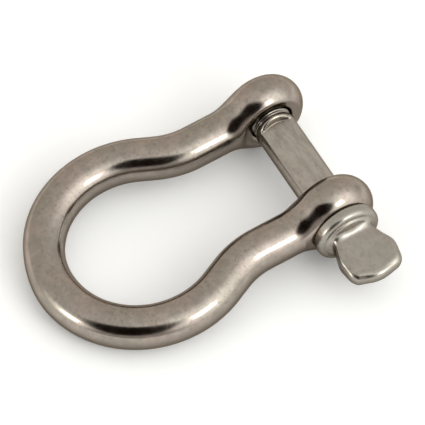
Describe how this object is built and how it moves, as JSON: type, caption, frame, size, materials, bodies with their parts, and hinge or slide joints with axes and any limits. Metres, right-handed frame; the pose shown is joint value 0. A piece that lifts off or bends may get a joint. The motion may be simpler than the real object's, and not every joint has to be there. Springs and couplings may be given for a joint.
{
  "type": "bow shackle",
  "caption": "Polished steel bow shackle: a round bar bent into a waisted bow with an ear on each end, closed by a flat-sided screw pin with a collar and a thumb tab.",
  "frame": {"origin": "on the pin's axis, midway between the two ears, with the shackle closed", "axes": "+X along the pin towards its thumb tab, +Y away from the round end of the bow, +Z square to the plane of the bow, so that the shackle lies flat"},
  "size_m": [0.0638, 0.0773, 0.0194],
  "materials": {
    "bow_steel": "tumble-polished stainless steel, soft blurred reflections",
    "pin_steel": "satin stainless steel, fine lengthwise grain on the flats"
  },
  "bodies": {
    "bow": {"bow": "bow_steel"},
    "pin": {"pin": "pin_steel"}
  },
  "joints": [
    {"name": "pin_withdraw", "type": "slide", "parent": "bow", "child": "pin", "axis": [1, 0, 0], "range_m": [0, 0.042]}
  ]
}
